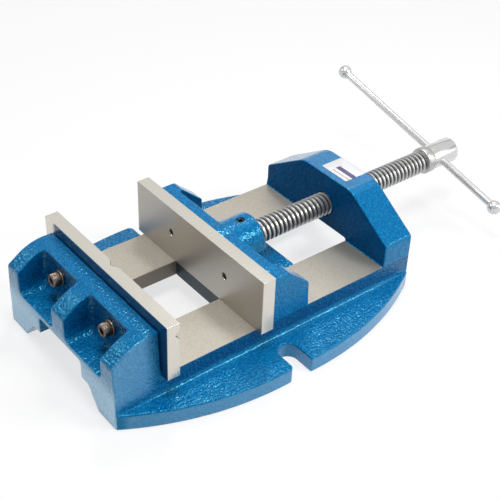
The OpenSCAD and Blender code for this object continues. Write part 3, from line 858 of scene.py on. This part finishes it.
def moving_jaw_field(x, y, z):
    """Distance from the skin of the moving jaw: an eared wall drawn out across the bed, hollowed
    between its ears and faced flat round its screws, with the boss and its web joined on and the tongue
    below."""
    side = np.abs(y)
    rise, reach = JAW_HIGH_Z - EAR_BACK_Z, EAR_BACK_X - EAR_TOP_X
    slope = ((x - EAR_TOP_X) * rise + (z - JAW_HIGH_Z) * reach) / math.hypot(rise, reach)
    profile = round_meet(round_meet(x - EAR_BACK_X, slope, EAR_EDGE_R), z - JAW_HIGH_Z, EAR_EDGE_R)
    profile = np.maximum(round_meet(profile, JAW_X - x, FACE_EDGE_R), JAW_Z - z)
    flare = EAR_FLARE * np.clip((JAW_HIGH_Z - z) / (JAW_HIGH_Z - JAW_Z), 0, 1)
    wall = round_meet(profile, side - EAR_Y - flare, EAR_EDGE_R)
    hollow = round_meet(JAW_X + WALL_T - x, side - EAR_Y + EAR_T, HOLLOW_R)
    wall = round_meet(wall, -hollow, HOLLOW_EDGE_R)
    seat = np.maximum(np.hypot(side - SCREW_Y, z - SCREW_Z) - SEAT_R, SEAT_X - x)
    wall = round_meet(wall, -seat, SEAT_EDGE_R)
    boss = round_meet(np.hypot(y, z - AXIS_Z) - BOSS_R, x - BOSS_X, BOSS_EDGE_R)
    web = np.maximum(np.maximum(side - WEB_Y, x - BOSS_X + 2.0), np.maximum(z - AXIS_Z, JAW_Z - 5.0 - z))
    boss = np.maximum(round_join(boss, web, WEB_R), JAW_X + 1.0 - x)
    body = round_join(wall, boss, BOSS_ROOT_R)
    tongue = np.maximum(np.maximum(JAW_X - x, x - JAW_HIGH[0]), np.maximum(side - TONGUE_Y, JAW_LOW[2] - z))
    body = np.minimum(body, round_meet(tongue, z - JAW_Z, TONGUE_EDGE_R))
    grub = np.maximum(np.hypot(x - GRUB_X, y) - GRUB_HOLE_R, GRUB_HOLE_Z - z)
    return round_meet(body, -grub, GRUB_EDGE_R)


def cast_piece(name, source, body, field, xs, ys, zs):
    """Enamelled casting: the skin of a field on a grid of planes, with the field's own normals."""
    points, quads, normals = casting_skin(field, xs, ys, zs)
    piece = put_piece(name, points, quads, body, ENAMEL, normals, merge=False)
    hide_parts(source)
    return piece


def shade_inside(piece, facing, low, high):
    """Gives the enamel with painted shade, darker and duller, to the faces whose middles lie between two
    corners, in millimetres, and that look along a direction."""
    count = len(piece.data.polygons)
    middle = np.empty(3 * count)
    normal = np.empty(3 * count)
    piece.data.polygons.foreach_get("center", middle)
    piece.data.polygons.foreach_get("normal", normal)
    middle = middle.reshape(-1, 3) / MM
    within = np.all((middle > np.array(low)) & (middle < np.array(high)), axis=1)
    within &= normal.reshape(-1, 3) @ np.array(facing, float) > 0.8
    piece.data.materials.append(INNER_SHADE_ENAMEL)
    piece.data.polygons.foreach_set("material_index", within.astype(np.int32))


def both_sides(*places):
    """The places to the far side and their mirror places to the near side."""
    return [side * place for side in (-1, 1) for place in places]


# Room round a casting in its grid, and the grid's finest and coarsest steps
ROOM = 3.0
BASE_FINE, BASE_COARSE = ((0.8, 2.5))
JAW_FINE, JAW_COARSE = ((0.7, 2.2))
BASE_COARSE_UP = 1.6
JAW_COARSE_ALONG = 1.4

SLOT_TICK = SLOT_R + 0.5
base_casting = cast_piece(
    "base_casting", "base", "bed", base_field,
    ticks(FRONT_X - ROOM, REAR_X + ROOM,
          [FRONT_X, BLOCK_SLOPE_X, POCKET_X, PLATE_BACK_X, -SLOT_TICK, 0.0, SLOT_TICK, BRIDGE_X, REAR_X],
          BASE_FINE, BASE_COARSE),
    ticks(-WING_Y - ROOM, WING_Y + ROOM,
          both_sides(POCKET_Y - POCKET_HALF, WINDOW_Y, POCKET_Y + POCKET_HALF, BED_Y,
                     SLOT_Y - SLOT_R + 1.0, WING_Y),
          BASE_FINE, BASE_COARSE),
    ticks(-ROOM, TOP_Z + ROOM, [0.0, WING_T, RAIL_Z, POCKET_Z, BLOCK_FRONT_Z, BLOCK_Z, TOP_Z],
          BASE_FINE, BASE_COARSE_UP))
# Painted shade on the bridge's front face between the rails
shade_inside(base_casting, (-1, 0, 0),
             (BRIDGE_X - 0.6, -BED_Y, RAIL_Z + 0.3), (BRIDGE_X + 0.4, BED_Y, TOP_Z))

jaw_casting = cast_piece(
    "jaw_casting", "moving_jaw", "jaw", moving_jaw_field,
    ticks(JAW_LOW[0] - ROOM, JAW_HIGH[0] + ROOM,
          [JAW_X, JAW_X + WALL_T, EAR_TOP_X, EAR_BACK_X, BOSS_X, GRUB_X], JAW_FINE, JAW_COARSE_ALONG),
    ticks(-EAR_Y - ROOM, EAR_Y + ROOM,
          both_sides(0.0, 4.0, BOSS_R, EAR_Y - EAR_T, EAR_Y), JAW_FINE, JAW_COARSE),
    ticks(JAW_LOW[2] - ROOM, AXIS_Z + BOSS_R + ROOM,
          [RAIL_Z, EAR_BACK_Z, JAW_HIGH_Z, AXIS_Z + BOSS_R], JAW_FINE, JAW_COARSE_ALONG))
# Painted shade on the far ear's inner side
shade_inside(jaw_casting, (0, -1, 0), (JAW_X, BOSS_R + 12.0, RAIL_Z), (EAR_BACK_X, EAR_Y, JAW_HIGH_Z))


# Machined faces of the base and the jaw

def guide_rail(name, side):
    """Machined skin of one rail: an L of outline points (across, up) drawn out along the bed, with the
    flat top, the guide face down the window and the ledge under it."""
    cut, thick = 0.35, 0.6
    outer, inner = BED_Y - cut, WINDOW_Y + thick
    outline = np.array([
        (outer, RAIL_Z - RAIL_SINK), (BED_Y - thick, RAIL_Z), (WINDOW_Y + cut, RAIL_Z),
        (WINDOW_Y, RAIL_Z - cut), (WINDOW_Y, LEDGE_Z + 0.3), (WINDOW_Y + 0.3, LEDGE_Z),
        (LEDGE_Y, LEDGE_Z), (LEDGE_Y, LEDGE_Z + thick), (inner, LEDGE_Z + thick),
        (inner, RAIL_Z - thick), (outer, RAIL_Z - thick)])
    outline = (outline * (side, 1.0))[::side]
    rings = np.empty((2, len(outline), 3))
    rings[:, :, 0] = np.array([PLATE_BACK_X, BRIDGE_X + 0.5])[:, None]
    rings[:, :, 1:] = outline
    drawn_piece(name, rings, "bed", RAIL_STEEL, 20)


guide_rail("guide_rail_near", -1)
guide_rail("guide_rail_far", 1)


def tongue_nose():
    """Machined front of the tongue under the moving plate: a rectangle with chamfered corners, given as
    outline points (across, up), drawn out along the bed and a little smaller at its front."""
    low, high, cut = JAW_LOW[2], JAW_Z - 0.02, 0.5
    inner = TONGUE_Y - cut
    outline = np.array([(TONGUE_Y, low + cut), (TONGUE_Y, high - cut), (inner, high), (-inner, high),
                        (-TONGUE_Y, high - cut), (-TONGUE_Y, low + cut), (-inner, low), (inner, low)])
    shrink = np.array([0.985, 1.0, 1.0])[:, None]
    middle = (low + high) / 2
    rings = np.empty((3, len(outline), 3))
    rings[:, :, 0] = np.array([JAW_LOW[0], JAW_LOW[0] + cut, JAW_X + 2.0])[:, None]
    rings[:, :, 1] = outline[:, 0] * shrink
    rings[:, :, 2] = middle + (outline[:, 1] - middle) * (2 * shrink - 1)
    # Its near-black colour is painted shade under the moving plate
    drawn_piece("tongue_nose", rings, "jaw", SLIDE_SHADE_IRON, 25)


tongue_nose()


# Jaw plates

def dressed_plate(name, source, body, material):
    """Jaw plate: the CAD plate merged and cleared of its triangles' inner edges, with small ground
    chamfers along every edge."""
    mesh = NODES[source].data.copy()
    mesh.name = name
    work = bmesh.new()
    work.from_mesh(mesh)
    bmesh.ops.remove_doubles(work, verts=work.verts, dist=1e-6)
    bmesh.ops.dissolve_limit(work, angle_limit=math.radians(1.0), verts=work.verts, edges=work.edges)
    work.to_mesh(mesh)
    work.free()
    mesh.materials.clear()
    mesh.materials.append(material)
    smooth(mesh)
    piece = new_object(name, mesh)
    chamfer = piece.modifiers.new("chamfer", "BEVEL")
    chamfer.width = PLATE_CHAMFER * MM
    chamfer.segments = 2
    chamfer.limit_method = "ANGLE"
    chamfer.angle_limit = math.radians(30)
    chamfer.harden_normals = True
    sharpen(piece, 40)
    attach(piece, body)
    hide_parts(source)


dressed_plate("fixed_plate", "fixed_jaw_plate", "bed", FIXED_STEEL)
dressed_plate("moving_plate", "moving_jaw_plate", "jaw", FACE_STEEL)


def hole_thread(name, side):
    """Thread in one hole of the moving plate: flanks that fall and rise by turns every fifth of a
    millimetre, turned about the hole's axis and closed along the hole's wall."""
    depth = np.arange(0.8, 0.1, -0.2)
    flank = np.where(np.arange(len(depth)) % 2, 2.85, 3.0)
    rows = [(0.2, PLATE_HOLE_R), (0.8, PLATE_HOLE_R), *zip(depth, flank), (0.2, PLATE_HOLE_R)]
    turned_piece(name, rows, 64, (MOVING_LOW[0], side * SCREW_Y, SCREW_Z), (1, 0, 0),
                 "jaw", PLATE_STEEL, 30)


hole_thread("plate_thread_near", -1)
hole_thread("plate_thread_far", 1)

# The keeper plate under the tongue is shown as its solid
NODES["keeper_plate"].data.materials.clear()
NODES["keeper_plate"].data.materials.append(PLATE_STEEL)


# Screws and washers

def hex_flats(half, turn):
    """Distance of a hex socket's flats from the axis at each angle: half the key's width over the cosine
    of the angle from the flat's middle."""
    return half / np.cos(np.mod(turn, np.pi / 3) - np.pi / 6)


def cap_screw(source, axis, body):
    """Cap screw turned about its axis from the bottom of its hex socket, up the socket's flats, over
    the rim and the knurled side, down under the head and along the shank. The knurl is a cosine of the
    angle times the number of teeth."""
    low, high = node_box(source)
    axis = np.asarray(axis, float)
    length = float(np.abs(axis) @ (high - low))
    start = (low + high) / 2 - axis * length / 2
    sides = 192
    turn = np.linspace(0.0, 2 * np.pi, sides, endpoint=False)
    flat = hex_flats(SCREW_KEY_HALF, turn)
    knurl = KNURL * np.cos(KNURL_TEETH * turn)
    grip = SCREW_HEAD_R - KNURL + knurl
    rows = [(3.5, 0.0), (3.0, flat), (0.25, flat), (0.0, np.maximum(flat, 3.0)), (0.0, 4.35), (0.12, 4.7),
            (0.45, 4.95 + knurl * 0.4), (0.7, grip), (5.3, grip), (5.7, 4.85), (6.0, 4.6), (6.0, 3.2),
            (6.3, SCREW_SHANK_R), (length - 0.8, SCREW_SHANK_R), (length, 2.3), (length, 0.0)]
    piece = turned_piece(source + "_turned", rows, sides, start, axis, body, SCREW_STEEL, 35)
    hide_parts(source)


def washer(source, axis, body):
    """Flat washer turned from a rectangle with rounded outer edges."""
    low, high = node_box(source)
    axis = np.asarray(axis, float)
    start = (low + high) / 2 - axis * WASHER_T / 2
    rows = [(0.0, WASHER_BORE_R), (0.0, 5.6), (0.12, 5.87), (0.4, WASHER_R), (1.3, WASHER_R),
            (WASHER_T, 5.8), (WASHER_T, WASHER_BORE_R), (0.0, WASHER_BORE_R)]
    piece = turned_piece(source + "_turned", rows, 64, start, axis, body, SCREW_STEEL, 45)
    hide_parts(source)


for place in ("near", "far"):
    cap_screw("fixed_jaw_screw_" + place, (1, 0, 0), "bed")
    washer("fixed_jaw_washer_" + place, (1, 0, 0), "bed")
    cap_screw("moving_jaw_screw_" + place, (-1, 0, 0), "jaw")
    washer("moving_jaw_washer_" + place, (-1, 0, 0), "jaw")
for place in ("front", "rear"):
    cap_screw("keeper_screw_" + place, (0, 0, 1), "jaw")


def grub_screw():
    """Grub screw turned about its axis from the bottom of its hex socket, up the flats, over the
    chamfered rim and down the side."""
    sides = 96
    flat = hex_flats(GRUB_KEY_HALF, np.linspace(0.0, 2 * np.pi, sides, endpoint=False))
    rows = [(2.6, 0.0), (2.2, flat), (0.15, flat), (0.0, np.maximum(flat, 1.75)), (0.0, GRUB_R - 0.5),
            (0.5, GRUB_R), (5.0, GRUB_R), (5.0, 0.0)]
    top = node_box("boss_grub_screw")[1][2]
    piece = turned_piece("boss_grub_screw_turned", rows, sides, (GRUB_X, 0, top), (0, 0, -1),
                         "jaw", GRUB_STEEL, 35)
    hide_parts("boss_grub_screw")


grub_screw()


# Spindle

def spindle_thread():
    """Trapezoidal thread: a profile of crest, flank, root and flank for each lead, carried round a
    helix. Point (i, j) stands at the turn's angle j and at the distance of profile point i plus the
    share of a turn times the lead, so the last angle runs on into the next turn's profile. The thread
    sinks to its root over the last millimetres at both ends."""
    steps = 64
    root = THREAD_R - THREAD_DEPTH
    share = np.array([0.0, 0.05, 0.40, 0.45, 0.57, 0.61, 0.86, 0.90])
    height = np.array([0.86, 1.0, 1.0, 0.86, 0.10, 0.0, 0.0, 0.10])
    turns = int(math.ceil((COLLAR_X - THREAD_X) / THREAD_LEAD)) + 3
    line = (np.arange(turns)[:, None] + share[None, :]).ravel() - 2.0
    lift = np.tile(height, turns)
    angle = np.arange(steps) / steps
    x = THREAD_X + THREAD_LEAD * (line[:, None] + angle[None, :])
    x = np.clip(x, THREAD_X, COLLAR_X + 0.5)
    ends = np.clip(np.minimum(x - THREAD_X, COLLAR_X + 0.5 - x) / 1.5, 0.0, 1.0)
    radius = root + (THREAD_R - root) * lift[:, None] * ends
    turn = 2 * np.pi * angle[None, :]
    points = np.stack([x, radius * np.cos(turn), AXIS_Z + radius * np.sin(turn)], axis=-1)
    rows = len(line)
    number = np.arange(rows * steps).reshape(rows, steps)
    row = np.arange(rows - len(share) - 1)
    here = number[row]
    ahead = np.concatenate([number[row][:, 1:], number[row + len(share)][:, :1]], axis=1)
    here_up = number[row + 1]
    ahead_up = np.concatenate([number[row + 1][:, 1:], number[row + 1 + len(share)][:, :1]], axis=1)
    quads = np.stack([here, ahead, ahead_up, here_up], axis=-1).reshape(-1, 4)
    piece = put_piece("spindle_thread", points.reshape(-1, 3), quads, "spindle", THREAD_STEEL)
    sharpen(piece, 50)
    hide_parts("spindle")


def spindle_turnings():
    """Collar, head and journal of the spindle, turned about its axis, with rounded rims."""
    rim = ((0.0, 0.7), (0.25, 0.2), (0.8, 0.0))
    collar = [(0.0, 0.0), *((along, COLLAR_R - less) for along, less in rim),
              *((COLLAR_L - along, COLLAR_R - less) for along, less in rim[::-1]), (COLLAR_L, 0.0)]
    end = SPINDLE_HIGH[0] - HEAD_X
    head = [(-0.5, 0.0), (-0.5, HEAD_R), (end - 1.6, HEAD_R), (end - 1.0, HEAD_R - 0.25),
            (end - 0.3, HEAD_R - 0.8), (end, HEAD_R - 1.5), (end, 0.0)]
    journal = [(0.0, 0.0), (0.0, JOURNAL_R), (JOURNAL_L, JOURNAL_R), (JOURNAL_L, 0.0)]
    for name, rows, sides, start, material in (("spindle_collar", collar, 96, COLLAR_X, BRIGHT),
                                               ("spindle_head", head, 96, HEAD_X, BAR_STEEL),
                                               ("spindle_journal", journal, 64, SPINDLE_LOW[0], BRIGHT)):
        turned_piece(name, rows, sides, (start, 0, AXIS_Z), (1, 0, 0),
                     "spindle", material, 45)


spindle_thread()
spindle_turnings()


# Tommy bar

bar_axis = np.array([0.0, math.cos(BAR_TILT), math.sin(BAR_TILT)])
bar_middle = np.array([BAR_X, 0.0, AXIS_Z]) + bar_axis * BAR_SHIFT
bar_rows = [(0.0, 0.0), (0.0, BAR_R), (2 * BAR_HALF, BAR_R), (2 * BAR_HALF, 0.0)]
bar = turned_piece("tommy_bar_rod", bar_rows, 64, bar_middle - bar_axis * BAR_HALF, bar_axis,
                   "handle", BAR_STEEL, 45)
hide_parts("tommy_bar")


def bar_ball(source, end):
    """Ball end: a circle's arc turned about the bar, cut flat where it meets the bar's shoulder. The
    centre stands off the shoulder by the leg of the triangle of the ball's and the flat's radius."""
    stand = math.sqrt(BALL_R * BALL_R - BALL_FLAT_R * BALL_FLAT_R)
    arc = np.linspace(math.asin(BALL_FLAT_R / BALL_R), np.pi, 33)
    rows = [(-stand, 0.0), *zip(BALL_R * -np.cos(arc), BALL_R * np.sin(arc))]
    middle = bar_middle + bar_axis * end * (BAR_HALF + stand)
    piece = turned_piece(source + "_turned", rows, 48, middle, bar_axis * end,
                         "handle", BAR_STEEL, 40)
    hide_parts(source)


bar_ball("bar_ball_near", -1)
bar_ball("bar_ball_far", 1)


# Label

def label_sheet():
    """Sticker: rings of a rectangle with round corners, from its foot over the edge to the middle. A
    ring's point is the corner's centre plus the radius times the direction of its angle."""
    radius = 1.5
    turn = np.linspace(0.0, 2 * np.pi, 64, endpoint=False) + np.pi / 64
    half = (LABEL_HIGH - LABEL_LOW)[:2] / 2
    middle = (LABEL_LOW + LABEL_HIGH)[:2] / 2
    way = np.stack([np.cos(turn), np.sin(turn)], axis=1)
    corner = np.sign(way) * (half - radius)
    rings = []
    for inset, up in ((0.0, LABEL_LOW[2] - 0.05), (0.0, LABEL_HIGH[2] - 0.05), (0.06, LABEL_HIGH[2])):
        flat = middle + corner + (radius - inset) * way
        rings.append(np.column_stack([flat, np.full(len(turn), up)]))
    rings.append(np.tile([*middle, LABEL_HIGH[2]], (len(turn), 1)))
    piece = put_piece("bridge_sticker", np.concatenate(rings), grid_quads(len(rings), len(turn)),
                      "bed", LABEL_FILM)
    sharpen(piece, 40)
    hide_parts("bridge_label")


label_sheet()


# Studio

def seen_share(tree):
    """Share of 1 for rays that see: camera, glossy and transmission rays."""
    path = tree.nodes.new("ShaderNodeLightPath")
    seen = fold(tree, "ADD", path.outputs["Is Camera Ray"], path.outputs["Is Glossy Ray"],
                path.outputs["Is Transmission Ray"])
    return math_node(tree, "MINIMUM", seen, 1.0)


def floor_material():
    """White floor: diffuse, lifted towards white for rays that see it, so that a soft shadow is left."""
    made = bpy.data.materials.new("studio_floor")
    made.use_nodes = True
    tree = made.node_tree
    tree.nodes.clear()
    out = tree.nodes.new("ShaderNodeOutputMaterial")
    matt = tree.nodes.new("ShaderNodeBsdfDiffuse")
    matt.inputs["Color"].default_value = (0.94, 0.94, 0.94, 1.0)
    glow = tree.nodes.new("ShaderNodeEmission")
    glow.inputs["Color"].default_value = (1.0, 1.0, 1.0, 1.0)
    glow.inputs["Strength"].default_value = 1.0
    mix = tree.nodes.new("ShaderNodeMixShader")
    tree.links.new(math_node(tree, "MULTIPLY", seen_share(tree), 0.72), mix.inputs[0])
    tree.links.new(matt.outputs[0], mix.inputs[1])
    tree.links.new(glow.outputs[0], mix.inputs[2])
    tree.links.new(mix.outputs[0], out.inputs["Surface"])
    return made


floor_mesh = bpy.data.meshes.new("studio_floor")
floor_mesh.from_pydata([(-4, -4, 0), (4, -4, 0), (4, 4, 0), (-4, 4, 0)], [], [(0, 1, 2, 3)])
floor_mesh.materials.append(floor_material())
floor = new_object("studio_floor", floor_mesh)


def level_axes(back):
    """Right and up of a level view whose back axis is given."""
    right = np.cross((0.0, 0.0, 1.0), back)
    right /= np.linalg.norm(right)
    return right, np.cross(back, right)


def stand_at(thing, right, up, back, place):
    """Puts a lamp or camera at a place in metres, with its axes along right, up and back."""
    axes = np.eye(4)
    axes[:3] = np.column_stack([right, up, back, place])
    thing.matrix_world = Matrix(axes.tolist())


def softbox(name, place, aim, width, height, power):
    """Rectangular white area lamp at a place, aimed at a point, all in metres and watts."""
    lamp = bpy.data.lights.new(name, "AREA")
    lamp.shape = "RECTANGLE"
    lamp.size = width
    lamp.size_y = height
    lamp.energy = power
    back = np.array(place, float) - np.array(aim, float)
    back /= np.linalg.norm(back)
    stand_at(new_object(name, lamp), *level_axes(back), back, place)


softbox("top_softbox", (-0.08, -0.12, 1.15), (0.0, 0.0, 0.03), 0.40, 0.40, 6.7)
softbox("key_softbox", (0.42, 0.46, 1.08), (0.0, 0.0, 0.03), 0.24, 0.24, 3.0)
softbox("right_softbox", (0.60, 0.20, 1.05), (0.03, 0.0, 0.03), 0.70, 0.70, 1.2)
softbox("edge_softbox", (0.61, -0.71, 0.74), (0.0, 0.0, 0.03), 0.22, 0.36, 3.6)
softbox("fillet_softbox", (0.38, -0.81, 0.83), (-0.08, -0.05, 0.02), 0.22, 0.32, 2.0)
softbox("front_softbox", (1.0, -0.78, 0.42), (0.03, 0.0, 0.03), 0.70, 0.70, 2.2)
softbox("rear_softbox", (-0.65, 0.75, 0.86), (-0.1, 0.0, 0.04), 0.40, 0.30, 2.2)


def studio_walls():
    """Surroundings: white for rays that see them, dimmer above the walls' top, with a dark band there.
    All other rays get a weak even light."""
    world = bpy.data.worlds.new("studio")
    bpy.context.scene.world = world
    world.use_nodes = True
    tree = world.node_tree
    ambient = tree.nodes["Background"]
    ambient.inputs["Color"].default_value = (1.0, 1.0, 1.0, 1.0)
    z = split_axes(tree, tree.nodes.new("ShaderNodeTexCoord").outputs["Generated"])[2]
    wall = ramp_range(tree, z, 0.22, 0.30, 1.0, 0.64)
    off_band = math_node(tree, "ABSOLUTE", math_node(tree, "SUBTRACT", z, 0.33))
    wall = fold(tree, "MULTIPLY", seen_share(tree), wall, ramp_range(tree, off_band, 0.03, 0.07))
    tree.links.new(math_node(tree, "MULTIPLY_ADD", wall, 0.92, 0.08), ambient.inputs["Strength"])


studio_walls()


# Camera at the photograph's viewing angle

def photo_camera(azimuth, elevation, roll, eye, lens):
    """Camera whose back axis is (sin a cos e, -cos a cos e, sin e), turned about it by the roll. The eye
    is in millimetres."""
    a, e, r = (math.radians(v) for v in (azimuth, elevation, roll))
    back = np.array([math.sin(a) * math.cos(e), -math.cos(a) * math.cos(e), math.sin(e)])
    level_right, level_up = level_axes(back)
    right = math.cos(r) * level_right + math.sin(r) * level_up
    up = -math.sin(r) * level_right + math.cos(r) * level_up
    data = bpy.data.cameras.new("photo_camera")
    data.sensor_width = 36.0
    data.lens = lens
    data.clip_start = 0.01
    data.clip_end = 20.0
    made = new_object("photo_camera", data)
    stand_at(made, right, up, back, np.array(eye) * MM)
    bpy.context.scene.camera = made


photo_camera(-39.351, 36.608, 2.247, (-380.516, -503.008, 516.376), 78.977)
bpy.context.scene.view_settings.view_transform = "Standard"
